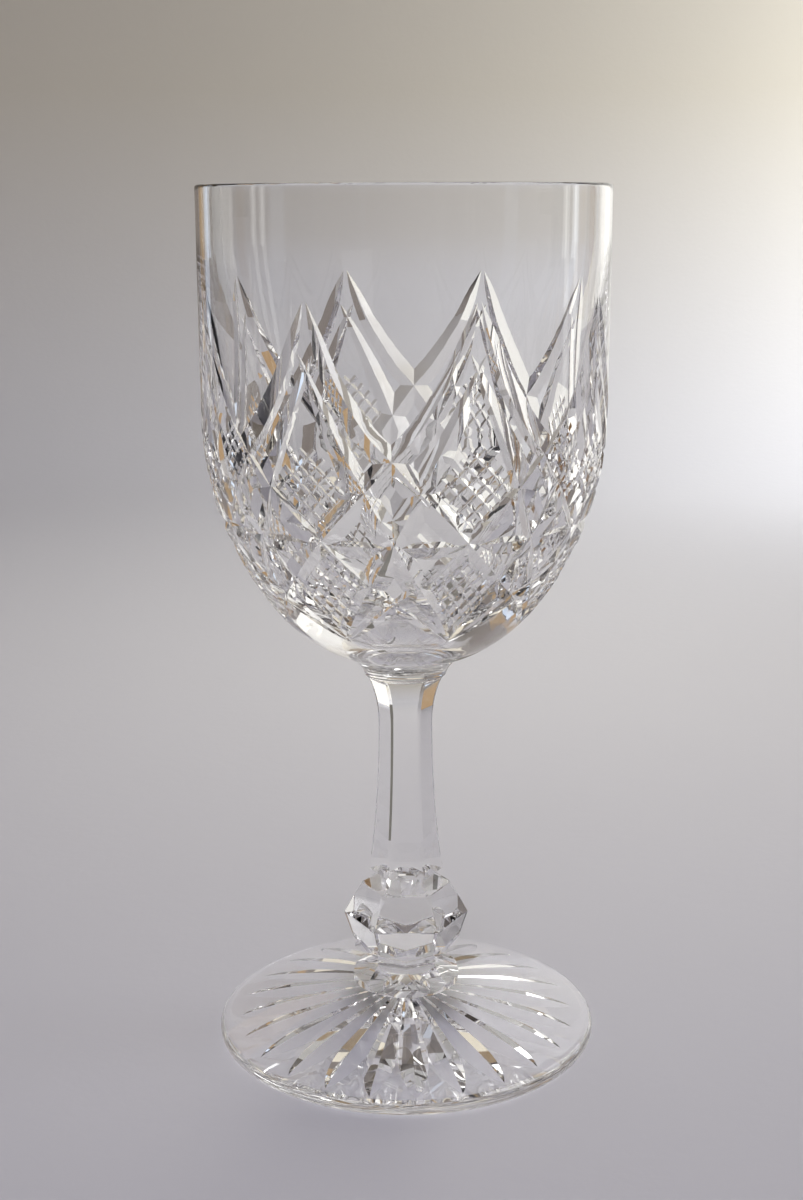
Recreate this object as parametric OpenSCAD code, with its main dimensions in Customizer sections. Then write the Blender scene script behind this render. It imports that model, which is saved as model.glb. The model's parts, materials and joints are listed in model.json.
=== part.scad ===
// Cut-crystal wine glass on a tall foot. Five pieces of clear glass are joined
// one above the other: foot, collar, knop, stem and bowl. The glass stands on
// z = 0 with its axis on Z, and a flat face of the stem looks towards -Y.
// Angles round the axis are measured from -Y towards +X.

/* [Bowl] */
// Height of the whole glass
glass_h = 171; // [169:0.5:174]
// Outer radius of the straight wall
bowl_r = 39; // [38:0.5:40]
// Height of the straight wall below the rim
straight_h = 43; // [41:0.5:45]
// Height of the underside of the bowl above the table
bowl_base_z = 78; // [77:0.5:79]
// Radius of the arc that turns the wall inwards
side_arc_r = 60; // [59:0.5:61]
// Thickness of the wall at the rim
rim_t = 1.1; // [1:0.1:1.3]
// Thickness of the wall behind the cutting
wall_t = 5; // [4.8:0.1:5.4]

/* [Cutting] */
// Angle of the first arch from the front
cut_turn = 19; // [0:1:44]
// Angle between the two faces of a wheel cut
cut_angle = 120; // [114:2:124]
// Drop from the rim to the tips of the arches
arch_drop = 19; // [18:0.5:20]
// Drop from the rim to the row of stars round the waist
waist_drop = 62.5; // [62:0.5:63]

/* [Stem] */
// Distance from the axis to a face at the stem's narrowest place
stem_waist = 4.8; // [4.6:0.1:5]
// Height of the narrowest place
stem_waist_z = 66; // [65:0.5:67]
// Radius of the hollow of the faces below the waist
stem_lower_r = 280; // [270:5:300]
// Radius of the hollow of the faces above the waist
stem_upper_r = 26; // [25:0.5:28]

/* [Knop] */
// Height of the top of the knop
knop_top_z = 34.4; // [34.2:0.1:34.6]
// Height of the knop's widest corners
knop_wide_z = 25; // [24.8:0.1:25.2]
// Distance from the axis to the widest corners
knop_r = 12.9; // [12.7:0.1:13.1]

/* [Foot] */
// Radius of the foot
foot_r = 38.8; // [38:0.2:39.6]
// Thickness of the rounded edge
foot_edge = 2.4; // [2.2:0.1:2.6]
// Height of the foot under the collar
foot_h = 10.6; // [10.4:0.1:10.8]
// Radius of the collar's scalloped rim
collar_r = 11; // [10.8:0.1:11.2]
// Rise of the hollow underside from its ring to the axis
under_h = 3; // [2.8:0.1:3.2]
// Number of flutes in the star under the foot
flutes = 24; // [20:1:24]
// Angle between the two faces of a flute
flute_angle = 110; // [106:2:114]
// Rise of the flutes over the underside at the axis
flute_depth = 3.2; // [3:0.1:3.4]

/* [Hidden] */
$fn = 96;
arc_fn = 256;
sides = 6;
half_side = 180 / sides;
arches = 8;
over = 1;
glass = [0.86, 0.89, 0.90, 0.45];
glass_thick = [0.80, 0.85, 0.87, 0.55];

// Bowl: two arcs that meet smoothly carry the wall down to the base
bowl_shoulder_z = glass_h - straight_h;
side_arc_x = bowl_r - side_arc_r;
arc_gap = side_arc_r - (bowl_shoulder_z - bowl_base_z);
base_arc_z = bowl_shoulder_z - (side_arc_x * side_arc_x - arc_gap * arc_gap) / (2 * arc_gap);
base_arc_r = base_arc_z - bowl_base_z;
arc_join_z = bowl_shoulder_z
    - side_arc_r * (bowl_shoulder_z - base_arc_z) / (side_arc_r - base_arc_r);
cavity_base_z = bowl_base_z + 7;
thin_z = glass_h - 9;
thick_z = glass_h - 53;
pad_z = 76.2;
pad_r = 8.2;
pad_h = 3.8;
pad_flare = 2.6;

// Pattern of the cutting: heights of its named places, and depths of its passes
arch_step = 360 / arches;
tip_z = glass_h - arch_drop;
inner_tip_z = tip_z - 12.5;
valley_z = tip_z - 27;
waist_z = glass_h - waist_drop;
low_valley_z = waist_z - 12;
tip_depth = 0.5;
valley_depth = 0.9;
inner_depth = 0.2;
waist_depth = 0.3;
low_depth = 0.8;
wheel_reach = 4;
wheel_tail = 1.5;

// Stem
stem_blank_r = 12;
stem_cut_r = 20;
stem_steps = 8;

// Knop: each facet is set by two points, given as radius and height
shoulder_z = knop_top_z - 3.1;
shoulder_r = 8;
knop_top_r = 6.55;
knop_base_z = 16.4;
knop_low_z = knop_wide_z - 5.8;
kite_r = knop_r * cos(half_side);
kite_taper = 1.67;
blank_over = 3;
neck_r = 5.9;

// Collar
collar_rim_z = foot_h + 1.4;
collar_slope_h = 2;
neck_corner_r = neck_r / cos(half_side);
scoop_r = 6;
scoop_h = 12;
scoop_z = 19.4;
scoop_tilt = 22;

// Foot
edge_r = foot_edge / 2;
rest_w = 1.4;
rest_r = foot_r - edge_r - rest_w;
flute_tip = foot_r - 4;
flute_stop_r = 3;
flute_rise = under_h + flute_depth;
flute_turn = 3;
hollow_r = 5;

// Outer radius of the uncut bowl at height z
function bowl_radius(z) =
    z > bowl_shoulder_z ? bowl_r :
    z > arc_join_z ? side_arc_x + sqrt(side_arc_r * side_arc_r - pow(bowl_shoulder_z - z, 2)) :
    sqrt(max(0, base_arc_r * base_arc_r - pow(base_arc_z - z, 2)));

// Wall thickness at height z: thin at the rim, thick behind the cutting
function blend(s) = s * s * (3 - 2 * s);
function wall(z) =
    rim_t + (wall_t - rim_t) * blend(max(0, min(1, (thin_z - z) / (thin_z - thick_z))));

// A point at angle a round the axis, radius r and height z
function at(a, r, z) = [r * sin(a), -r * cos(a), z];
function unit(v) = v / norm(v);

// Section of a V-shaped cut of the given angle, with its edge at the origin
module v_section(angle, reach) {
    half = reach * tan(angle / 2);
    polygon([[0, 0], [half, reach], [-half, reach]]);
}

// One straight pass of the cutting wheel. Its edge runs from angle and height
// p to q, sunk by depth under the bowl's surface at both ends.
module wheel_pass(p, q, depth) {
    a = at(p[0], bowl_radius(p[1]) - depth, p[1]);
    b = at(q[0], bowl_radius(q[1]) - depth, q[1]);
    along = unit(b - a);
    outwards = [a[0] + b[0], a[1] + b[1], 0];
    up = unit(outwards - (outwards * along) * along);
    across = cross(up, along);
    start = a - wheel_tail * along;
    multmatrix([
        [across[0], up[0], along[0], start[0]],
        [across[1], up[1], along[1], start[1]],
        [across[2], up[2], along[2], start[2]],
        [0, 0, 0, 1]])
        linear_extrude(norm(b - a) + 2 * wheel_tail)
            v_section(cut_angle, wheel_reach);
}

// The wheel cuts of one arch, and their mirror images
module arch_cuts() {
    for (side = [-1, 1]) {
        half_step = side * arch_step / 2;
        // Outer arch: tip, valley between two arches, star on the next arch
        wheel_pass([0, tip_z], [half_step, valley_z], tip_depth);
        wheel_pass([half_step, valley_z], [2 * half_step, waist_z], valley_depth);
        // Inner arch down to the waist
        wheel_pass([0, inner_tip_z], [half_step, waist_z], inner_depth);
        // Below the waist towards the foot of the next arch
        wheel_pass([0, waist_z], [half_step, low_valley_z], low_depth);
    }
    // Lens-shaped cuts round the waist, between neighbouring stars
    for (a = [0, arch_step / 2])
        wheel_pass([a, waist_z], [a + arch_step / 2, waist_z], waist_depth);
}

// Half section of the uncut bowl, with its rounded lip and the pad under it
module bowl_blank() {
    lip_r = rim_t / 2;
    translate([0, bowl_shoulder_z])
        square([bowl_r, straight_h - lip_r]);
    translate([bowl_r - lip_r, glass_h - lip_r])
        circle(lip_r);
    intersection() {
        translate([side_arc_x, bowl_shoulder_z])
            circle(side_arc_r, $fn = arc_fn);
        translate([0, arc_join_z])
            square([bowl_r, bowl_shoulder_z - arc_join_z]);
    }
    intersection() {
        translate([0, base_arc_z])
            circle(base_arc_r, $fn = arc_fn);
        translate([0, bowl_base_z])
            square([bowl_r, arc_join_z - bowl_base_z]);
    }
    polygon([[0, pad_z], [pad_r, pad_z], [pad_r + pad_flare, pad_z + pad_h],
        [0, pad_z + pad_h]]);
}

// Half section of the space for the wine
module cavity() {
    top = glass_h + over;
    levels = 24;
    inner_h = bowl_shoulder_z - cavity_base_z;
    inner_r = bowl_r - wall(bowl_shoulder_z);
    upper = [for (i = [0:levels])
        let (z = bowl_shoulder_z + (glass_h - bowl_shoulder_z) * i / levels)
        [bowl_r - wall(z), z]];
    lower = [for (i = [0:levels - 1])
        let (a = 90 * i / levels)
        [inner_r * sin(a), bowl_shoulder_z - inner_h * cos(a)]];
    polygon(concat(lower, upper, [[bowl_r - rim_t, top], [0, top]]));
}

module bowl() {
    color(glass)
        difference() {
            rotate_extrude()
                bowl_blank();
            rotate_extrude()
                cavity();
            for (i = [0:arches - 1])
                rotate(cut_turn + i * arch_step)
                    arch_cuts();
        }
}

// Turns a section drawn as [radius, height] into a bar that lies across the
// front of the glass
module across_front() {
    rotate([90, 0, -90])
        linear_extrude(60, center = true)
            children();
}

// Distance from the axis to a stem face, d above or below its narrowest place,
// where the wheel that ground it has radius r
function stem_face(r, d) = stem_waist + r - sqrt(r * r - d * d);

// Six faces, each ground hollow with two wheels of different radius
module stem() {
    lower_h = stem_waist_z - knop_top_z;
    upper_h = pad_z - stem_waist_z;
    lower = [for (i = [stem_steps:-1:1])
        let (d = lower_h * i / stem_steps)
        [stem_face(stem_lower_r, d), stem_waist_z - d]];
    upper = [for (i = [0:stem_steps])
        let (d = upper_h * i / stem_steps)
        [stem_face(stem_upper_r, d), stem_waist_z + d]];
    low_end = [lower[0][0], knop_top_z - over];
    high_end = [upper[stem_steps][0], pad_z + over];
    color(glass_thick)
        difference() {
            translate([0, 0, knop_top_z])
                cylinder(r = stem_blank_r, h = pad_z - knop_top_z);
            for (i = [0:sides - 1])
                rotate(i * 360 / sides)
                    across_front()
                        polygon(concat([[stem_cut_r, low_end[1]], low_end], lower, upper,
                            [high_end, [stem_cut_r, high_end[1]]]));
        }
}

// What one flat facet removes. The plane holds the points p, above, and q,
// each given as [radius, height].
module facet(p, q) {
    reach = 30;
    along = unit(q - p);
    out = [-along[1], along[0]];
    start = p - reach * along;
    stop = q + reach * along;
    across_front()
        polygon([start, stop, stop + reach * out, start + reach * out]);
}

// Faceted ball: kite facets above and below a zigzag girdle, and a shoulder
// that carries on the faces of the stem
module knop() {
    color(glass_thick) {
        difference() {
            translate([0, 0, knop_base_z])
                cylinder(r = knop_r + blank_over, h = shoulder_z - knop_base_z);
            for (i = [0:sides - 1])
                rotate(i * 360 / sides) {
                    facet([shoulder_r, shoulder_z], [knop_r - 0.6, shoulder_z - 2.4]);
                    facet([kite_r, knop_wide_z], [kite_r - kite_taper, knop_low_z]);
                    rotate(half_side) {
                        facet([shoulder_r + 1.2, shoulder_z - 0.5], [knop_r, knop_wide_z]);
                        facet([knop_r - 1.9, knop_low_z], [neck_r, knop_base_z]);
                    }
                }
        }
        translate([0, 0, shoulder_z])
            cylinder(r1 = shoulder_r / cos(half_side), r2 = knop_top_r / cos(half_side),
                h = knop_top_z - shoulder_z, $fn = sides);
    }
}

// Six-sided neck that runs out into scallops on a round collar
module collar() {
    color(glass_thick)
        union() {
            difference() {
                union() {
                    translate([0, 0, foot_h])
                        cylinder(r = collar_r, h = collar_rim_z - foot_h);
                    translate([0, 0, collar_rim_z])
                        cylinder(r1 = collar_r, r2 = neck_corner_r, h = collar_slope_h);
                }
                for (i = [0:sides - 1])
                    rotate(half_side + i * 360 / sides)
                        translate([0, -neck_r, scoop_z])
                            rotate([90 + scoop_tilt, 0, 0])
                                cylinder(r = scoop_r, h = scoop_h);
            }
            translate([0, 0, foot_h])
                rotate(90)
                    cylinder(r = neck_corner_r, h = knop_base_z - foot_h, $fn = sides);
        }
}

// Half section of the uncut foot: a shallow cone with a rounded edge, ground
// hollow underneath so that it stands on a flat ring
module foot_blank() {
    translate([foot_r - edge_r, edge_r])
        circle(edge_r);
    polygon([[0, under_h], [rest_r, 0], [foot_r - edge_r, 0], [foot_r - edge_r, foot_edge],
        [collar_r, foot_h], [0, foot_h]]);
}

// Foot with a star of radial flutes ground under it
module foot() {
    color(glass)
        difference() {
            rotate_extrude()
                foot_blank();
            for (i = [0:flutes - 1])
                rotate(flute_turn + i * 360 / flutes)
                    translate([0, -flute_tip, 0])
                        rotate([90 - atan(flute_rise / flute_tip), 0, 180])
                            linear_extrude(flute_tip - flute_stop_r)
                                mirror([0, 1])
                                    v_section(flute_angle, wheel_reach);
            translate([0, 0, -over])
                cylinder(r = hollow_r, h = over + flute_rise);
        }
}

bowl();
stem();
knop();
collar();
foot();
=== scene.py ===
"""Looks of the cut-crystal wine glass: five fused pieces of clear glass, each a
closed mesh with crisp wheel cuts, on a pale paper sweep in window light.

Lengths in the shape functions are in millimetres, and to_object() turns them
into metres. Angles round the axis are in degrees, from -Y towards +X.
"""

import json
import math

import bmesh
import bpy
import numpy as np
from mathutils import Matrix, Vector

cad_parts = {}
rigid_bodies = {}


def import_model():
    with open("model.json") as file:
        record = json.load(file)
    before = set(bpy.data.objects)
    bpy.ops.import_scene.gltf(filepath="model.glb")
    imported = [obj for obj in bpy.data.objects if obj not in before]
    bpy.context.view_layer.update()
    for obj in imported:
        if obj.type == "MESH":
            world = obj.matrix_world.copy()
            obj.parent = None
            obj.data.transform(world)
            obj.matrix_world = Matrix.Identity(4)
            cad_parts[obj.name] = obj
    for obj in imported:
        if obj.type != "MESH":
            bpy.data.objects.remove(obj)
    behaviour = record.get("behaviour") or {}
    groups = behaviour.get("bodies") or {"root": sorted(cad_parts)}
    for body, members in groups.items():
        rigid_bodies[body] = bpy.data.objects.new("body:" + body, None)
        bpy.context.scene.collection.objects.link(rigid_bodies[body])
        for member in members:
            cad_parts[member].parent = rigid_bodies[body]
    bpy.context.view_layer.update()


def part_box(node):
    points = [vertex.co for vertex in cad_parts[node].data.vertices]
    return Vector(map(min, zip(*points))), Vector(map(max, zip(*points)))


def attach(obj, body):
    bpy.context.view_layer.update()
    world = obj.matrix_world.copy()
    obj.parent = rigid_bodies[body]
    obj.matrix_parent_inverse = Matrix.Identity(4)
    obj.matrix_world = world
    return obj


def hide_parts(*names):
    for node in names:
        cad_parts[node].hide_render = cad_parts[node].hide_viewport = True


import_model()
MM = 0.001


def node_box(name):
    """Lowest and highest corner of a CAD node, in millimetres."""
    low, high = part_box(name)
    return low / MM, high / MM


# Sizes read from the frame
BOWL_LOW, BOWL_HIGH = node_box("bowl")
KNOP_LOW, KNOP_HIGH = node_box("knop")
FOOT_HIGH = node_box("foot")[1]
RIM_Z = BOWL_HIGH.z
BOWL_R = BOWL_HIGH.x
PAD_Z = BOWL_LOW.z
FOOT_R = FOOT_HIGH.x
FOOT_H = FOOT_HIGH.z
KNOP_TOP_Z = KNOP_HIGH.z
KNOP_BASE_Z = KNOP_LOW.z

# Bowl: a straight upper wall, a side arc from the shoulder down, and a base arc
SHOULDER_Z = RIM_Z - 43
BASE_Z = PAD_Z + 1.8
SIDE_ARC_R = 60
RIM_T = 1.1
WALL_T = 5
THICKENS_Z = RIM_Z - 9
THICKENS_OVER = 44
PAD_R = 8.2
CAVITY_BASE_Z = BASE_Z + 7
SIDE_ARC_X = BOWL_R - SIDE_ARC_R
ARC_GAP = SIDE_ARC_R - (SHOULDER_Z - BASE_Z)
BASE_ARC_Z = SHOULDER_Z - (SIDE_ARC_X ** 2 - ARC_GAP ** 2) / (2 * ARC_GAP)
BASE_ARC_R = BASE_ARC_Z - BASE_Z
ARC_JOIN_Z = SHOULDER_Z - SIDE_ARC_R * (SHOULDER_Z - BASE_ARC_Z) / (SIDE_ARC_R - BASE_ARC_R)

SEGMENTS = 256
CRISP_ANGLE = 12
CRISP_ANGLE_COLLAR = 14


# ---------------------------------------------------------------- mesh helpers

def to_object(name, verts, faces):
    """A mesh object, from points in millimetres."""
    mesh = bpy.data.meshes.new(name)
    mesh.from_pydata([tuple(c * MM for c in v) for v in verts], [], faces)
    obj = bpy.data.objects.new(name, mesh)
    bpy.context.scene.collection.objects.link(obj)
    return obj


def from_bmesh(name, bm):
    """A mesh object from bm, which is in metres and is used up."""
    mesh = bpy.data.meshes.new(name)
    bm.to_mesh(mesh)
    bm.free()
    obj = bpy.data.objects.new(name, mesh)
    bpy.context.scene.collection.objects.link(obj)
    return obj


def at(angle, radius, height):
    """The point at an angle round the axis."""
    a = math.radians(angle)
    return np.array([radius * math.sin(a), -radius * math.cos(a), height])


def revolve(name, profile, segments):
    """A closed solid from a profile of (radius, height) that runs from the axis
    at the bottom to the axis at the top."""
    rings = profile[1:-1]
    verts = [(0, 0, profile[0][1])]
    for r, z in rings:
        verts += [tuple(at(360 * i / segments, r, z)) for i in range(segments)]
    verts.append((0, 0, profile[-1][1]))
    last = len(verts) - 1
    faces = []
    for i in range(segments):
        j = (i + 1) % segments
        faces.append((0, 1 + j, 1 + i))
        for k in range(len(rings) - 1):
            low, high = 1 + k * segments, 1 + (k + 1) * segments
            faces.append((low + i, low + j, high + j, high + i))
        top = 1 + (len(rings) - 1) * segments
        faces.append((last, top + i, top + j))
    return to_object(name, verts, faces)


def arc(centre, radius, start, stop, steps):
    """Points of an arc in (radius, height). Angles are from outwards to up."""
    return [(centre[0] + radius * math.cos(math.radians(a)),
             centre[1] + radius * math.sin(math.radians(a)))
            for a in np.linspace(start, stop, steps + 1)]


def smooth_path(nodes, steps):
    """A smooth curve (Catmull-Rom) through rows of numbers."""
    p = np.array(nodes, float)
    p = np.vstack([2 * p[0] - p[1], p, 2 * p[-1] - p[-2]])
    out = []
    for k in range(1, len(p) - 2):
        a, b, c, d = p[k - 1:k + 3]
        for t in np.linspace(0, 1, steps, endpoint=False):
            out.append(0.5 * (2 * b + (c - a) * t + (2 * a - 5 * b + 4 * c - d) * t * t
                              + (3 * b - a - 3 * c + d) * t ** 3))
    out.append(p[-2])
    return out


def v_bar(name, edges, outs, spreads, proud):
    """A bar with a V section, the shape that a mitred wheel takes out. edges are
    the points of the V's bottom, outs the unit vectors out of the glass."""
    n = len(edges)
    verts, faces = [], []
    for i in range(n):
        along = edges[min(i + 1, n - 1)] - edges[max(i - 1, 0)]
        side = np.cross(along, outs[i])
        side /= np.linalg.norm(side)
        top = edges[i] + outs[i] * proud[i]
        reach = side * spreads[i] * proud[i]
        verts += [tuple(edges[i]), tuple(top + reach), tuple(top - reach)]
    for i in range(n - 1):
        a, b = 3 * i, 3 * i + 3
        faces += [(a, b, b + 1, a + 1), (a + 1, b + 1, b + 2, a + 2), (a + 2, b + 2, b, a)]
    faces += [(0, 1, 2), (3 * n - 3, 3 * n - 1, 3 * n - 2)]
    obj = to_object(name, verts, faces)
    outward_normals(obj.data)
    return obj


def outward_normals(mesh):
    """Turns every face of a closed mesh outwards."""
    bm = bmesh.new()
    bm.from_mesh(mesh)
    bmesh.ops.recalc_face_normals(bm, faces=bm.faces)
    bm.to_mesh(mesh)
    bm.free()


def cut(obj, cutters, operation="DIFFERENCE"):
    """Takes the cutters out of obj (or joins them to it) and removes them."""
    group = bpy.data.collections.new("cutters")
    bpy.context.scene.collection.children.link(group)
    for c in cutters:
        bpy.context.scene.collection.objects.unlink(c)
        group.objects.link(c)
    modifier = obj.modifiers.new("cut", "BOOLEAN")
    modifier.operation = operation
    modifier.solver = "MANIFOLD"
    modifier.operand_type = "COLLECTION"
    modifier.collection = group
    depsgraph = bpy.context.evaluated_depsgraph_get()
    mesh = bpy.data.meshes.new_from_object(obj.evaluated_get(depsgraph))
    obj.modifiers.clear()
    old = obj.data
    obj.data = mesh
    mesh.name = old.name
    bpy.data.meshes.remove(old)
    for c in list(group.objects):
        data = c.data
        bpy.data.objects.remove(c)
        bpy.data.meshes.remove(data)
    bpy.data.collections.remove(group)


def weld(obj, distance=0.002):
    """Merges points closer than distance, in millimetres."""
    bm = bmesh.new()
    bm.from_mesh(obj.data)
    bmesh.ops.remove_doubles(bm, verts=bm.verts, dist=distance * MM)
    bmesh.ops.dissolve_degenerate(bm, edges=bm.edges, dist=distance * MM / 2)
    bm.to_mesh(obj.data)
    bm.free()


def crisp(obj, angle):
    """Smooth faces with a sharp edge wherever they meet at more than angle."""
    mesh = obj.data
    mesh.shade_smooth()
    bm = bmesh.new()
    bm.from_mesh(mesh)
    limit = math.radians(angle)
    for edge in bm.edges:
        edge.smooth = len(edge.link_faces) == 2 and edge.calc_face_angle(0) < limit
    bm.to_mesh(mesh)
    bm.free()


# ------------------------------------------------------------- shape of the bowl

def outer_radius(z):
    """Outer radius of the uncut bowl, for one height or many."""
    z = np.asarray(z, float)
    side = SIDE_ARC_X + np.sqrt(np.maximum(SIDE_ARC_R ** 2 - (SHOULDER_Z - z) ** 2, 0))
    base = np.sqrt(np.maximum(BASE_ARC_R ** 2 - (BASE_ARC_Z - z) ** 2, 0))
    return np.where(z > SHOULDER_Z, BOWL_R, np.where(z > ARC_JOIN_Z, side, base))


def outer_normal(z):
    """(outwards, upwards) parts of the outer surface's normal."""
    z = np.asarray(z, float)
    side = np.stack([outer_radius(z) - SIDE_ARC_X, z - SHOULDER_Z], -1) / SIDE_ARC_R
    base = np.stack([outer_radius(z), z - BASE_ARC_Z], -1) / BASE_ARC_R
    straight = np.stack([np.ones_like(z), np.zeros_like(z)], -1)
    lower = np.where((z > ARC_JOIN_Z)[..., None], side, base)
    return np.where((z > SHOULDER_Z)[..., None], straight, lower)


def wall(z):
    """Thickness of the wall: thin at the rim, thick behind the cutting."""
    s = np.clip((THICKENS_Z - z) / THICKENS_OVER, 0, 1)
    return RIM_T + (WALL_T - RIM_T) * s * s * (3 - 2 * s)


def inner_radius(z):
    """Radius of the cavity: a straight part, and half an ellipse below it."""
    z = np.asarray(z, float)
    high = BOWL_R - wall(z)
    depth = SHOULDER_Z - CAVITY_BASE_Z
    low = (BOWL_R - wall(SHOULDER_Z)) * np.sqrt(
        np.clip(1 - ((SHOULDER_Z - z) / depth) ** 2, 0, 1))
    return np.where(z > SHOULDER_Z, high, low)


def bowl_profile():
    """The uncut bowl: pad, flare, base and side arcs, lip, and the cavity."""
    lip = RIM_T / 2
    points = [(0, PAD_Z), (PAD_R, PAD_Z)]
    points += [(PAD_R + 2.6 * t ** 1.6, PAD_Z + 3.6 * t) for t in np.linspace(0.15, 1, 8)]
    points += [(float(outer_radius(z)), z) for z in np.linspace(PAD_Z + 4.1, ARC_JOIN_Z, 14)]
    points += [(float(outer_radius(z)), z) for z in np.linspace(ARC_JOIN_Z, SHOULDER_Z, 34)[1:]]
    points += [(BOWL_R, z) for z in np.linspace(SHOULDER_Z, RIM_Z - lip, 12)[1:-1]]
    points += arc((BOWL_R - lip, RIM_Z - lip), lip, 0, 180, 12)
    points += [(float(inner_radius(z)), z) for z in np.linspace(RIM_Z - 1.5, SHOULDER_Z, 32)]
    inner_h = SHOULDER_Z - CAVITY_BASE_Z
    inner_r = BOWL_R - float(wall(SHOULDER_Z))
    points += [(inner_r * math.sin(a), SHOULDER_Z - inner_h * math.cos(a))
               for a in np.linspace(math.pi / 2, 0, 44)[1:]]
    points[-1] = (0, CAVITY_BASE_Z)
    return points


def groove(name, nodes, steps=6, above=1.2):
    """A wheel cut on the bowl. Each node is (angle, height, depth, spread), where
    spread is half the cut's width for each millimetre of depth."""
    rows = smooth_path(nodes, steps)
    edges, outs, spreads, proud = [], [], [], []
    for angle, z, depth, spread in rows:
        out_r, out_z = outer_normal(z)
        out = at(angle, out_r, out_z)
        edges.append(at(angle, float(outer_radius(z)), z) - depth * out)
        outs.append(out)
        spreads.append(spread)
        proud.append(depth + above)
    return v_bar(name, edges, outs, spreads, proud)


# ------------------------------------------------------------ cutting of the bowl

ARCHES = 8
STEP = 360 / ARCHES
CUT_TURN = 19

# Named places of the pattern, as (angle from the arch's axis, height)
TIP = (0, RIM_Z - 18.6)
INNER_TIP = (0, RIM_Z - 31.7)
VALLEY = (22.5, RIM_Z - 47)
SPLIT = (14.8, RIM_Z - 52.8)
WAIST_Z = RIM_Z - 62.5
FORK = (14.5, RIM_Z - 71)
LOW_VALLEY_Z = RIM_Z - 74.3
FOOT_POINT_Z = RIM_Z - 82.5

# Half of a cut's width for each millimetre of its depth
NARROW = 1.4
MIDDLE = 1.8
WIDE = 2.3

WAIST_CUT_DEPTH = 0.3
HATCH_LINES = 5
HATCH_DEPTH = 0.3


def arch_grooves(turn, side):
    """The two long cuts that start at one arch and run to one side. Each node is
    (angle from the arch's axis, height, depth, spread); a depth below 0 lets the
    wheel run out of the glass."""
    outer = [
        (0.0, TIP[1], -0.12, MIDDLE),
        (3.2, TIP[1] - 6.9, 0.65, MIDDLE),
        (7.6, TIP[1] - 14.8, 1.05, MIDDLE),
        (15.2, TIP[1] - 23.1, 1.3, MIDDLE),
        (VALLEY[0], VALLEY[1], 1.4, MIDDLE),
        (STEP - SPLIT[0], SPLIT[1], 1.5, MIDDLE),
        (STEP, WAIST_Z, 1.25, WIDE),
        (STEP + FORK[0], FORK[1], 1.05, WIDE),
        (1.5 * STEP, LOW_VALLEY_Z, 0.8, MIDDLE),
        (2 * STEP - 8, FOOT_POINT_Z + 2.2, 0.4, NARROW),
        (2 * STEP + 2, FOOT_POINT_Z - 0.8, -0.1, NARROW),
    ]
    inner = [
        (-2.6, INNER_TIP[1] + 4.0, -0.1, MIDDLE),
        (INNER_TIP[0], INNER_TIP[1], 0.4, MIDDLE),
        (6.5, INNER_TIP[1] - 9.6, 0.95, MIDDLE),
        (SPLIT[0], SPLIT[1], 1.5, MIDDLE),
        (STEP / 2, WAIST_Z, 1.25, WIDE),
        (STEP - FORK[0], FORK[1], 1.15, WIDE),
        (STEP - 5, FOOT_POINT_Z + 4, 0.6, MIDDLE),
        (STEP + 2, FOOT_POINT_Z - 1.4, -0.1, NARROW),
    ]
    return [groove("cut", [(turn + side * a, z, d, s) for a, z, d, s in nodes])
            for nodes in (outer, inner)]


def waist_cut(turn):
    """A straight pass between two stars of the waist: a lens-shaped hollow."""
    overrun, proud, points = 1, 2.2, 9
    ends_r = float(outer_radius(WAIST_Z)) - WAIST_CUT_DEPTH
    a = at(turn - overrun, ends_r, WAIST_Z)
    b = at(turn + STEP / 2 + overrun, ends_r, WAIST_Z)
    edges = [a + (b - a) * t for t in np.linspace(0, 1, points)]
    out_r, out_z = outer_normal(WAIST_Z)
    outs = [at(turn + STEP / 4, out_r, out_z)] * points
    return v_bar("cut", edges, outs, [MIDDLE] * points, [proud] * points)


def hatch(turn, top, left, right, bottom):
    """Two sets of fine lines that cross in one kite of the pattern. Its corners
    are given as (angle from the arch's axis, height)."""
    bars = []
    for first, second, third, fourth in ((top, right, left, bottom), (top, left, right, bottom)):
        for k in range(1, HATCH_LINES + 1):
            t = k / (HATCH_LINES + 1)
            start = np.array(first) * (1 - t) + np.array(third) * t
            stop = np.array(second) * (1 - t) + np.array(fourth) * t
            rows = [(*(start * (1 - s) + stop * s), HATCH_DEPTH, MIDDLE)
                    for s in np.linspace(0.02, 0.98, 4)]
            rows = [(turn + a, z, d, w) for a, z, d, w in rows]
            bars.append(groove("cut", rows, steps=2, above=0.3))
    return bars


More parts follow.
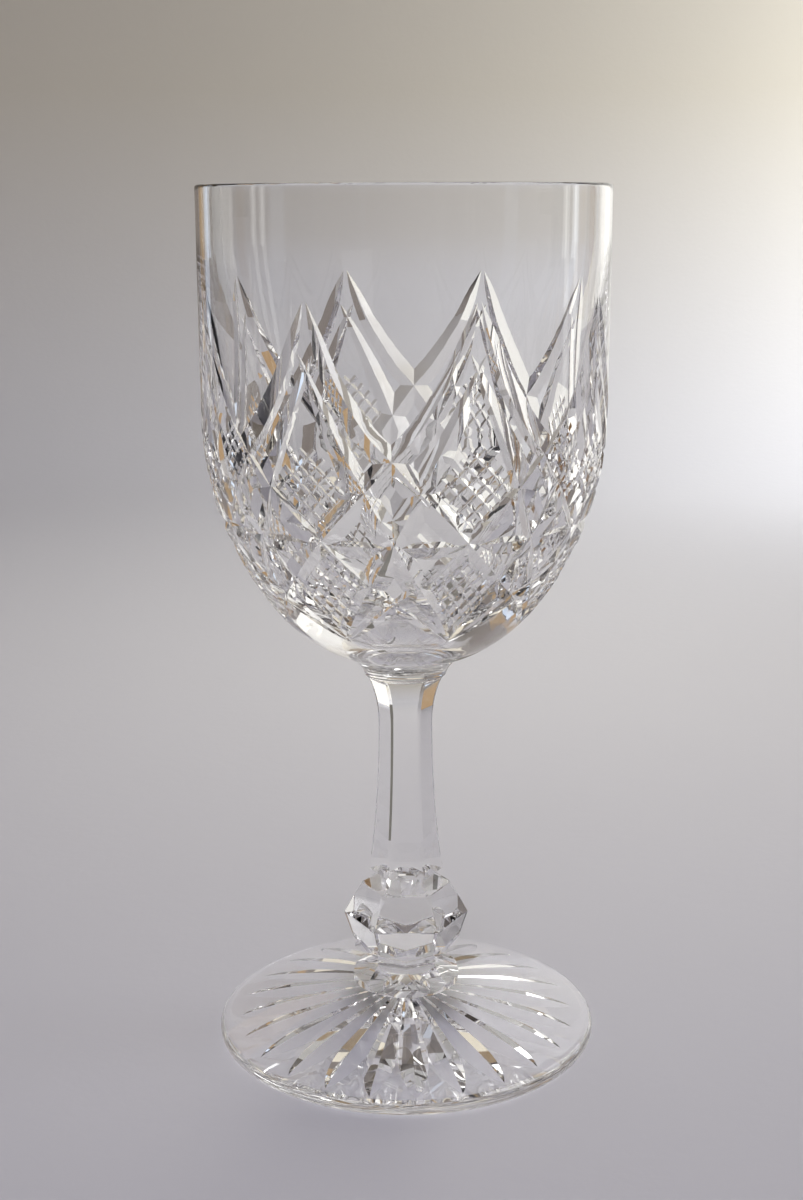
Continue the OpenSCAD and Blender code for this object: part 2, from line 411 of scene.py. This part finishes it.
def true_normals(obj):
    """Gives what is left of the blown surfaces the exact normal of their curve,
    so that they refract like one smooth skin between the cuts."""
    mesh = obj.data
    loops = len(mesh.loops)
    vert_of = np.zeros(loops, np.int32)
    mesh.loops.foreach_get("vertex_index", vert_of)
    co = np.zeros(len(mesh.vertices) * 3)
    mesh.vertices.foreach_get("co", co)
    co = co.reshape(-1, 3)[vert_of] / MM
    normal = np.zeros(len(mesh.polygons) * 3)
    mesh.polygons.foreach_get("normal", normal)
    centre = np.zeros(len(mesh.polygons) * 3)
    mesh.polygons.foreach_get("center", centre)
    totals = np.zeros(len(mesh.polygons), np.int32)
    mesh.polygons.foreach_get("loop_total", totals)
    normal = normal.reshape(-1, 3)
    centre = centre.reshape(-1, 3) / MM

    def skin(points, inner):
        """Unit normals of the inner or outer skin, and the distance to it."""
        r = np.hypot(points[:, 0], points[:, 1])
        z = points[:, 2]
        if inner:
            dz = 0.01
            low = np.maximum(z, CAVITY_BASE_Z + 2 * dz)
            slope = (inner_radius(low + dz) - inner_radius(low - dz)) / (2 * dz)
            flat = np.stack([-np.ones_like(slope), slope], -1)
            flat /= np.linalg.norm(flat, axis=1)[:, None]
            gap = np.abs(r - inner_radius(z)) * np.abs(flat[:, 0])
        else:
            flat = outer_normal(z)
            gap = np.abs(r - outer_radius(z)) * flat[:, 0]
        unit = points[:, :2] / np.maximum(r, 1e-9)[:, None]
        return np.column_stack([unit * flat[:, :1], flat[:, 1]]), gap

    custom = np.zeros((loops, 3))
    same_way, near = math.cos(math.radians(4)), 0.08
    below_lip_z, above_flare_z = RIM_Z - 1.6, PAD_Z + 4.3
    for inner in (False, True):
        want, gap = skin(centre, inner)
        fits = (np.sum(want * normal, 1) > same_way) & (gap < near)
        fits &= centre[:, 2] < below_lip_z
        fits &= centre[:, 2] > (CAVITY_BASE_Z if inner else above_flare_z)
        by_loop = np.repeat(fits, totals)
        exact, _ = skin(co, inner)
        custom[by_loop] = exact[by_loop]
    mesh.normals_split_custom_set(custom.tolist())


def bowl():
    """The blown bowl with eight arches and the patterns between them cut in."""
    obj = revolve("bowl_glass_body", bowl_profile(), SEGMENTS)
    cutters = []
    for i in range(ARCHES):
        turn = CUT_TURN + i * STEP
        for side in (-1, 1):
            cutters += arch_grooves(turn, side)
        for half in (0, STEP / 2):
            cutters.append(waist_cut(turn + half))
        mirrored = [(-SPLIT[0], SPLIT[1]), (SPLIT[0], SPLIT[1])]
        cutters += hatch(turn, (0, 2 * SPLIT[1] - WAIST_Z), *mirrored, (0, WAIST_Z))
        mirrored = [(-FORK[0], FORK[1]), (FORK[0], FORK[1])]
        cutters += hatch(turn, (0, WAIST_Z), *mirrored, (0, FOOT_POINT_Z))
    cut(obj, cutters)
    weld(obj)
    crisp(obj, CRISP_ANGLE)
    true_normals(obj)
    obj.visible_shadow = False
    return obj


# ------------------------------------------------------------------ other pieces

SIDES = 6
SIDE_STEP = 360 / SIDES
HALF_SIDE = SIDE_STEP / 2

STEM_WAIST = 4.8
STEM_WAIST_Z = PAD_Z - 10.2
STEM_LOWER_R = 280
STEM_UPPER_R = 26
STEM_CHAMFER = 0.32
STEM_TOP_Z = PAD_Z - 0.35


def stem_apothem(z):
    """Distance from the axis to the middle of a face, on two arcs that meet at
    the stem's waist."""
    d = z - STEM_WAIST_Z
    r = STEM_UPPER_R if d > 0 else STEM_LOWER_R
    return STEM_WAIST + r - math.sqrt(r * r - d * d)


def stem():
    """Six hollow-ground faces with a fine chamfer on each arris, and a thin round
    disc on top where the bowl is fused on."""
    verts, faces = [], []
    levels = list(np.linspace(KNOP_TOP_Z, STEM_TOP_Z, 60))
    least, fade_low, fade_high = 0.001, 1.5, 1.0
    for z in levels:
        apothem = stem_apothem(z)
        corner = apothem / math.cos(math.radians(HALF_SIDE))
        fade = min(1, (z - KNOP_TOP_Z) / fade_low, (STEM_TOP_Z - z) / fade_high)
        chamfer = STEM_CHAMFER * max(0.0, fade) + least
        along = math.tan(math.radians(HALF_SIDE)) * apothem - chamfer
        for k in range(SIDES):
            for sign in (-1, 1):
                turn = math.degrees(math.atan2(sign * along, apothem))
                r = math.hypot(along, apothem)
                verts.append(tuple(at(k * SIDE_STEP + turn, min(r, corner), z)))
    ring = 2 * SIDES
    for i in range(len(levels) - 1):
        for k in range(ring):
            a, b = i * ring + k, i * ring + (k + 1) % ring
            faces.append((a, b, b + ring, a + ring))
    faces.append(tuple(reversed(range(ring))))
    faces.append(tuple(range((len(levels) - 1) * ring, len(levels) * ring)))
    obj = to_object("stem_shaft", verts, faces)
    disc_z = PAD_Z - 0.6
    top = revolve("top_disc", [(0, disc_z), (PAD_R - 1.2, disc_z), (PAD_R - 0.35, STEM_TOP_Z),
                               (PAD_R, PAD_Z), (0, PAD_Z)], SEGMENTS)
    cut(obj, [top], "UNION")
    weld(obj)
    crisp(obj, CRISP_ANGLE)
    return obj


# Knop and collar meet at NECK_R, measured to the middle of a side of the collar
NECK_R = 5.9
KNOP_R = 12.9
KNOP_BEVEL = 0.10
BLOCK = 60
BLOCK_MIDDLE_Z = 25


def facet_plane(turn, p, q):
    """A point and the outward normal of the facet through p (above) and q, each
    (radius, height), on the side of the glass at angle turn."""
    (pr, pz), (qr, qz) = p, q
    length = math.hypot(qr - pr, qz - pz)
    out_r, out_z = (pz - qz) / length, (qr - pr) / length
    return at(turn, pr, pz), at(turn, out_r, out_z)


def knop():
    """A ball of kite facets, cut face by face from a block. Each facet goes through
    two places of its middle line, as (radius, height)."""
    shoulder_z = KNOP_TOP_Z - 3.1
    wide_z = KNOP_TOP_Z - 9.4
    low_z = wide_z - 5.8
    neck = (6.55, KNOP_TOP_Z)
    shoulder = (8.0, shoulder_z)
    kite_top = (KNOP_R - 0.6, shoulder_z - 2.4)
    between_kites = (9.2, shoulder_z - 0.5)
    girdle = (KNOP_R * math.cos(math.radians(HALF_SIDE)), wide_z)
    planes = [(np.array([0, 0, KNOP_TOP_Z]), np.array([0, 0, 1.0])),
              (np.array([0, 0, KNOP_BASE_Z]), np.array([0, 0, -1.0]))]
    for k in range(SIDES):
        face, arris = k * SIDE_STEP, k * SIDE_STEP + HALF_SIDE
        planes.append(facet_plane(face, neck, shoulder))
        planes.append(facet_plane(face, shoulder, kite_top))
        planes.append(facet_plane(arris, between_kites, (KNOP_R, wide_z)))
        planes.append(facet_plane(face, girdle, (girdle[0] - 1.67, low_z)))
        planes.append(facet_plane(arris, (KNOP_R - 1.9, low_z), (NECK_R, KNOP_BASE_Z)))
    bm = bmesh.new()
    bmesh.ops.create_cube(bm, size=BLOCK * MM)
    bmesh.ops.translate(bm, verts=bm.verts, vec=(0, 0, BLOCK_MIDDLE_Z * MM))
    for point, normal in planes:
        geometry = bm.verts[:] + bm.edges[:] + bm.faces[:]
        found = bmesh.ops.bisect_plane(bm, geom=geometry, dist=1e-7, plane_co=Vector(point) * MM,
                                       plane_no=Vector(normal), clear_outer=True)
        rim = [e for e in found["geom_cut"] if isinstance(e, bmesh.types.BMEdge)]
        if rim:
            bmesh.ops.contextual_create(bm, geom=rim)
    bmesh.ops.remove_doubles(bm, verts=bm.verts, dist=0.01 * MM)
    bmesh.ops.recalc_face_normals(bm, faces=bm.faces)

    def free(edge):
        return all(KNOP_BASE_Z + 0.3 < v.co.z / MM < KNOP_TOP_Z - 0.3 for v in edge.verts)

    bmesh.ops.bevel(bm, geom=[e for e in bm.edges if free(e)], offset=KNOP_BEVEL * MM,
                    offset_type="OFFSET", segments=1, profile=0.5, affect="EDGES")
    return from_bmesh("knop_ball", bm)


# The scoops' lower end stands SCOOP_Z high, and SCOOP_TILT turns them outwards
COLLAR_R = 11
COLLAR_EDGE_H = 1.4
COLLAR_CONE_H = 2
SCOOP_R = 6
SCOOP_LENGTH = 12
SCOOP_TILT = 112
SCOOP_Z = KNOP_BASE_Z + 3.0


def scoop(turn):
    """The round wheel that hollows one side of the collar."""
    bm = bmesh.new()
    bmesh.ops.create_cone(bm, cap_ends=True, segments=192, radius1=SCOOP_R * MM,
                          radius2=SCOOP_R * MM, depth=SCOOP_LENGTH * MM)
    place = (Matrix.Rotation(math.radians(turn), 4, "Z")
             @ Matrix.Translation(Vector((0, -NECK_R, SCOOP_Z)) * MM)
             @ Matrix.Rotation(math.radians(SCOOP_TILT), 4, "X")
             @ Matrix.Translation(Vector((0, 0, SCOOP_LENGTH / 2)) * MM))
    bmesh.ops.transform(bm, matrix=place, verts=bm.verts)
    return from_bmesh("scoop", bm)


def collar():
    """A hexagonal neck that runs out in six scoops to a scalloped disc."""
    edge_z = FOOT_H + COLLAR_EDGE_H
    cone_z = edge_z + COLLAR_CONE_H
    corner = NECK_R / math.cos(math.radians(HALF_SIDE))
    obj = revolve("collar_ring", [(0, FOOT_H), (COLLAR_R, FOOT_H), (COLLAR_R, edge_z),
                                  (corner, cone_z), (0, cone_z)], SEGMENTS)
    cut(obj, [scoop(HALF_SIDE + SIDE_STEP * k) for k in range(SIDES)])
    low = [at(SIDE_STEP * k, corner, FOOT_H + 0.3) for k in range(SIDES)]
    top = [at(SIDE_STEP * k, corner, KNOP_BASE_Z) for k in range(SIDES)]
    faces = [(k, (k + 1) % SIDES, SIDES + (k + 1) % SIDES, SIDES + k) for k in range(SIDES)]
    faces += [tuple(reversed(range(SIDES))), tuple(range(SIDES, 2 * SIDES))]
    neck = to_object("neck", low + top, faces)
    outward_normals(neck.data)
    cut(obj, [neck], "UNION")
    weld(obj)
    crisp(obj, CRISP_ANGLE_COLLAR)
    return obj


# The underside rises from the ring that it rests on to UNDER_H in the middle
UNDER_H = 3.0
REST_R = FOOT_R - 2.6
FOOT_EDGE_R = 1.2
FLUTES = 24
FLUTE_TURN = 3
FLUTE_SPREAD = 1.43
# One flute from its tip inwards, as (radius, depth above the hollow underside)
FLUTE_PATH = [(34.4, -0.1), (32.6, 0.7), (30, 1.35), (26, 1.9), (20, 2.0), (12, 2.0), (2.4, 2.0)]
# The polished hollow in the middle of the star, as (radius, height)
HOLLOW = [(0, -1), (4.4, -1), (4.4, 4.5), (3.6, 5.4), (0, 5.8)]


def foot_under(radius):
    """Height of the foot's hollow underside: it stands on a ring near its edge."""
    return UNDER_H * max(0.0, 1 - radius / REST_R)


def foot():
    """A shallow cone with a rounded edge and a star of flutes ground under it."""
    profile = [(0, UNDER_H)] + [(r, foot_under(r)) for r in np.linspace(4, REST_R, 12)]
    profile += arc((FOOT_R - FOOT_EDGE_R, FOOT_EDGE_R), FOOT_EDGE_R, -90, 72, 14)
    start = profile[-1]
    profile += [(start[0] + (COLLAR_R - start[0]) * t, start[1] + (FOOT_H - start[1]) * t)
                for t in np.linspace(0, 1, 24)[1:]]
    profile.append((0, FOOT_H))
    obj = revolve("foot_disc", profile, SEGMENTS)
    cutters = []
    rows = smooth_path(FLUTE_PATH, 5)
    for k in range(FLUTES):
        turn = FLUTE_TURN + 360 / FLUTES * k
        edges = [at(turn, r, foot_under(r) + depth) for r, depth in rows]
        outs = [np.array([0, 0, -1.0])] * len(rows)
        proud = [foot_under(r) + depth + 1 for r, depth in rows]
        cutters.append(v_bar("flute", edges, outs, [FLUTE_SPREAD] * len(rows), proud))
    cutters.append(revolve("hollow", HOLLOW, 64))
    cut(obj, cutters)
    weld(obj)
    crisp(obj, CRISP_ANGLE)
    obj.visible_shadow = False
    return obj


# --------------------------------------------------------------------- materials

def new_material(name):
    """A Principled material, with its nodes, links and shader."""
    material = bpy.data.materials.new(name)
    material.use_nodes = True
    nodes = material.node_tree.nodes
    return material, nodes, material.node_tree.links, nodes["Principled BSDF"]


GLASS_IOR = 1.545
GLASS_ROUGHNESS = 0.004


def glass(name, streak_scale, streak_height):
    """Clear crystal. Its surface has the faint upright streaks of drawn glass and
    the patchy gloss of hand polishing."""
    material, nodes, links, shader = new_material(name)
    shader.inputs["Base Color"].default_value = (1.0, 1.0, 1.0, 1.0)
    shader.inputs["Transmission Weight"].default_value = 1.0
    shader.inputs["IOR"].default_value = GLASS_IOR
    place = nodes.new("ShaderNodeTexCoord")
    gloss = nodes.new("ShaderNodeTexNoise")
    gloss.inputs["Scale"].default_value = 180
    gloss.inputs["Detail"].default_value = 4
    spread = nodes.new("ShaderNodeMapRange")
    spread.inputs["To Min"].default_value = 0.0
    spread.inputs["To Max"].default_value = GLASS_ROUGHNESS
    links.new(place.outputs["Object"], gloss.inputs["Vector"])
    links.new(gloss.outputs["Fac"], spread.inputs["Value"])
    links.new(spread.outputs["Result"], shader.inputs["Roughness"])
    stretch = nodes.new("ShaderNodeMapping")
    stretch.inputs["Scale"].default_value = streak_scale
    waves = nodes.new("ShaderNodeTexNoise")
    waves.inputs["Scale"].default_value = 1.0
    waves.inputs["Detail"].default_value = 2
    bump = nodes.new("ShaderNodeBump")
    bump.inputs["Strength"].default_value = 1.0
    bump.inputs["Distance"].default_value = streak_height * MM
    links.new(place.outputs["Object"], stretch.inputs["Vector"])
    links.new(stretch.outputs["Vector"], waves.inputs["Vector"])
    links.new(waves.outputs["Fac"], bump.inputs["Height"])
    links.new(bump.outputs["Normal"], shader.inputs["Normal"])
    return material


def joint_material():
    """Where two pieces are fused there is no surface to see."""
    material, nodes, links, shader = new_material("fused_joint")
    shader.inputs["Alpha"].default_value = 0.0
    return material


def paint_joints(obj, heights, joint):
    """Gives the flat faces at these heights the fused-joint material."""
    obj.data.materials.append(joint)
    index = len(obj.data.materials) - 1
    for face in obj.data.polygons:
        for z in heights:
            if abs(face.normal.z) > 0.999 and abs(face.center.z / MM - z) < 0.01:
                face.material_index = index


# ------------------------------------------------------------------------- stage

# Lengths in this section are in metres
SWEEP_R = 1.05
SWEEP_BEND = 0.40
SWEEP_H = 1.5
AIR_GAP = 0.0003
# The paper's colour changes with height. The wall's warmer, darker tone is painted light: it
# stands in for warm light falling on the wall, not a colour of the paper.
PAPER_FLOOR = (0.60, 0.59, 0.625, 1)
PAPER_WALL_PAINTED_WARM_LIGHT = (0.52, 0.478, 0.415, 1)
PAPER_CHANGES_OVER = 0.25


def paper_material():
    """Matt paper with a fine grain. Its colour goes from cool on the floor to warmer and darker
    up the wall: painted warm light on the wall.
    """
    material, nodes, links, shader = new_material("paper")
    shader.inputs["Roughness"].default_value = 0.9
    shader.inputs["Specular IOR Level"].default_value = 0.1
    place = nodes.new("ShaderNodeTexCoord")
    split = nodes.new("ShaderNodeSeparateXYZ")
    height = nodes.new("ShaderNodeMapRange")
    height.inputs["From Max"].default_value = PAPER_CHANGES_OVER
    # Painted light: with height the colour runs from the floor tone to the painted warm wall
    # tone
    painted_light_ramp = nodes.new("ShaderNodeMix")
    painted_light_ramp.data_type = "RGBA"
    painted_light_ramp.inputs["A"].default_value = PAPER_FLOOR
    painted_light_ramp.inputs["B"].default_value = PAPER_WALL_PAINTED_WARM_LIGHT
    links.new(place.outputs["Object"], split.inputs["Vector"])
    links.new(split.outputs["Z"], height.inputs["Value"])
    links.new(height.outputs["Result"], painted_light_ramp.inputs["Factor"])
    links.new(painted_light_ramp.outputs["Result"], shader.inputs["Base Color"])
    fibre = nodes.new("ShaderNodeTexNoise")
    fibre.inputs["Scale"].default_value = 260
    fibre.inputs["Detail"].default_value = 6
    bump = nodes.new("ShaderNodeBump")
    bump.inputs["Strength"].default_value = 0.25
    bump.inputs["Distance"].default_value = 0.0004
    links.new(place.outputs["Object"], fibre.inputs["Vector"])
    links.new(fibre.outputs["Fac"], bump.inputs["Height"])
    links.new(bump.outputs["Normal"], shader.inputs["Normal"])
    return material


def sweep():
    """A round paper sweep: a floor that bends up into a wall on every side."""
    segments = 96
    rings = [(r, 0) for r in (0.02, 0.2, 0.4, SWEEP_R - SWEEP_BEND)]
    rings += [(SWEEP_R - SWEEP_BEND + SWEEP_BEND * math.sin(a),
               SWEEP_BEND * (1 - math.cos(a))) for a in np.linspace(0, math.pi / 2, 17)[1:]]
    rings += [(SWEEP_R, SWEEP_BEND + (SWEEP_H - SWEEP_BEND) * t) for t in (0.3, 0.6, 1)]
    verts = [(0, 0, 0)]
    for r, z in rings:
        verts += [tuple(at(360 * i / segments, r, z) / MM) for i in range(segments)]
    faces = [(0, 1 + i, 1 + (i + 1) % segments) for i in range(segments)]
    for k in range(len(rings) - 1):
        low, high = 1 + k * segments, 1 + (k + 1) * segments
        faces += [(low + i, high + i, high + (i + 1) % segments, low + (i + 1) % segments)
                  for i in range(segments)]
    obj = to_object("paper_sweep", verts, faces)
    obj.location.z = -AIR_GAP
    obj.data.shade_smooth()
    obj.data.materials.append(paper_material())


def aim(obj, place, target):
    """Puts obj at place with its -Z axis towards target."""
    obj.location = place
    obj.rotation_euler = (Vector(target) - Vector(place)).to_track_quat("-Z", "Y").to_euler()


def area_light(name, place, target, size, power, colour):
    """A rectangular light that only lights the paper. What shows in the glass is
    set apart, by the cards of room()."""
    data = bpy.data.lights.new(name, "AREA")
    data.shape = "RECTANGLE"
    data.size, data.size_y = size
    data.energy = power
    data.color = colour
    obj = bpy.data.objects.new(name, data)
    bpy.context.scene.collection.objects.link(obj)
    aim(obj, place, target)
    obj.visible_camera = False
    obj.visible_glossy = False
    obj.visible_transmission = False


def card(name, turn, distance, height, size, glow):
    """A glowing or dark card that only shows inside the glass. It stands at an
    angle round the glass, with its middle at height, and looks at the glass."""
    w, h = size[0] / 2 / MM, size[1] / 2 / MM
    obj = to_object(name, [(-w, -h, 0), (w, -h, 0), (w, h, 0), (-w, h, 0)], [(0, 1, 2, 3)])
    aim(obj, at(turn, distance, height), (0, 0, min(height, 0.2)))
    material, nodes, links, shader = new_material(name)
    shader.inputs["Base Color"].default_value = (0, 0, 0, 1)
    shader.inputs["Specular IOR Level"].default_value = 0.0
    shader.inputs["Emission Color"].default_value = (*glow, 1)
    shader.inputs["Emission Strength"].default_value = 1.0
    obj.data.materials.append(material)
    obj.visible_camera = False
    obj.visible_diffuse = False
    obj.visible_shadow = False


# Each card: name, turn, distance, middle height, (width, height), glow
NEAR = 0.30
NEAR_Z = 0.185
NEAR_H = 0.27
FAR = 0.80
CARDS = [
    ("white_right", 153, NEAR, NEAR_Z, (0.085, NEAR_H), (1.0, 0.98, 0.93)),
    ("sun_right", 136, NEAR, NEAR_Z, (0.07, NEAR_H), (1.3, 1.27, 1.2)),
    ("brown_right", 119, 0.40, 0.17, (0.06, 0.34), (0.20, 0.11, 0.045)),
    ("taupe_left", -153, NEAR, NEAR_Z, (0.085, NEAR_H), (0.21, 0.18, 0.16)),
    ("amber_left", -139, NEAR, 0.2175, (0.05, 0.205), (0.40, 0.28, 0.16)),
    ("amber_stem", -142, 0.12, 0.075, (0.035, 0.04), (0.44, 0.28, 0.13)),
    ("sky_left", -130, 0.32, 0.2175, (0.035, 0.205), (0.8, 0.92, 1.1)),
    ("dark_left", -118, 0.40, 0.18, (0.20, 0.31), (0.012, 0.012, 0.014)),
    ("dark_side", -97, FAR, 0.40, (0.20, 0.5), (0.13, 0.11, 0.09)),
    ("grey_side", -70, 0.70, 0.25, (0.12, 0.4), (0.48, 0.50, 0.56)),
    ("roof_light", 135, 0.75, 0.95, (0.30, 0.5), (3.5, 3.5, 3.5)),
    ("shelf", 166, 0.85, 0.68, (0.42, 0.70), (0.30, 0.22, 0.14)),
    ("curtain", -166, 0.85, 0.68, (0.42, 0.70), (0.85, 0.78, 0.64)),
    ("front_dark", -25, FAR, 0.55, (0.35, 0.5), (0.10, 0.085, 0.07)),
    ("stem_shade", 164, 0.065, 0.036, (0.008, 0.06), (0.16, 0.15, 0.13)),
    ("front_light", 30, FAR, 0.45, (0.30, 0.5), (0.9, 0.88, 0.85)),
]
PANE_SIZE = (0.05, 0.15)
PANE_GLOW = (1.7, 1.7, 1.65)


def room():
    """What the glass sees besides the paper: a window of six panes, and the cards."""
    for column in (0, 1):
        for row in (0, 1, 2):
            card(f"pane_{column}_{row}", 96 + 8 * column, FAR, 0.12 + 0.17 * row,
                 PANE_SIZE, PANE_GLOW)
    for values in CARDS:
        card(*values)


def lights():
    """The paper's light: soft from the front, with a glow on the floor behind the
    glass and one low on the wall to the right. The world only shows in the glass."""
    world = bpy.data.worlds.new("room")
    bpy.context.scene.world = world
    world.use_nodes = True
    background = world.node_tree.nodes["Background"]
    background.inputs["Color"].default_value = (0.98, 0.96, 0.95, 1)
    background.inputs["Strength"].default_value = 0.42
    world.cycles_visibility.diffuse = False
    area_light("front", (0, -0.6, 1.2), (0, 0.2, 0), (0.6, 0.6), 5.9, (0.83, 0.82, 1.0))
    area_light("key", (0.60, 0.05, 0.35), (0, 0.1, 0), (0.25, 0.35), 0.5, (0.90, 0.94, 1.0))
    area_light("floor_glow", (0.08, 0.27, 0.45), (0.06, 0.27, 0), (0.25, 0.2), 1.2,
               (1.0, 0.99, 0.85))
    area_light("wall_glow", (0.50, 0.66, 0.37), (0.33, 1.0, 0.08), (0.3, 0.3), 3.3,
               (0.96, 1.0, 0.98))


LENS = 50.72
CAMERA_PLACE = (-0.0007, -0.326, 0.1682)
LOOK_DOWN = 13.33
ROLL = -0.22


def camera():
    """The viewpoint: from the front, a little above the rim."""
    data = bpy.data.cameras.new("camera")
    data.sensor_width = 36
    data.lens = LENS
    obj = bpy.data.objects.new("camera", data)
    bpy.context.scene.collection.objects.link(obj)
    bpy.context.scene.camera = obj
    obj.matrix_world = (Matrix.Translation(CAMERA_PLACE)
                        @ Matrix.Rotation(math.radians(90 - LOOK_DOWN), 4, "X")
                        @ Matrix.Rotation(math.radians(ROLL), 4, "Z"))


def render_quality():
    """Enough bounces for light to cross five pieces of glass."""
    scene = bpy.context.scene
    scene.view_settings.view_transform = "Standard"
    cycles = scene.cycles
    cycles.max_bounces = 32
    cycles.transmission_bounces = 32
    cycles.glossy_bounces = 16
    cycles.diffuse_bounces = 4
    cycles.transparent_max_bounces = 64
    cycles.use_denoising = True
    cycles.sample_clamp_indirect = 12


def main():
    """Sets the stage, builds the five pieces and ties them to the frame."""
    camera()
    sweep()
    lights()
    room()
    render_quality()
    joint = joint_material()
    clear = {
        "bowl_glass": glass("bowl_glass", (260, 260, 14), 0.006),
        "stem_glass": glass("stem_glass", (120, 120, 60), 0.004),
        "foot_glass": glass("foot_glass", (90, 90, 90), 0.006),
    }
    pieces = [
        (bowl(), "bowl", "bowl_glass", [PAD_Z]),
        (stem(), "stem", "stem_glass", [PAD_Z, KNOP_TOP_Z]),
        (knop(), "knop", "stem_glass", [KNOP_TOP_Z, KNOP_BASE_Z]),
        (collar(), "collar", "stem_glass", [KNOP_BASE_Z, FOOT_H]),
        (foot(), "foot", "foot_glass", [FOOT_H]),
    ]
    for obj, node, slot, joints in pieces:
        obj.data.materials.clear()
        obj.data.materials.append(clear[slot])
        paint_joints(obj, joints, joint)
        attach(obj, "root")
        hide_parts(node)
        print("piece", obj.name, len(obj.data.polygons), "faces",
              sum(len(p.vertices) - 2 for p in obj.data.polygons), "triangles")


main()
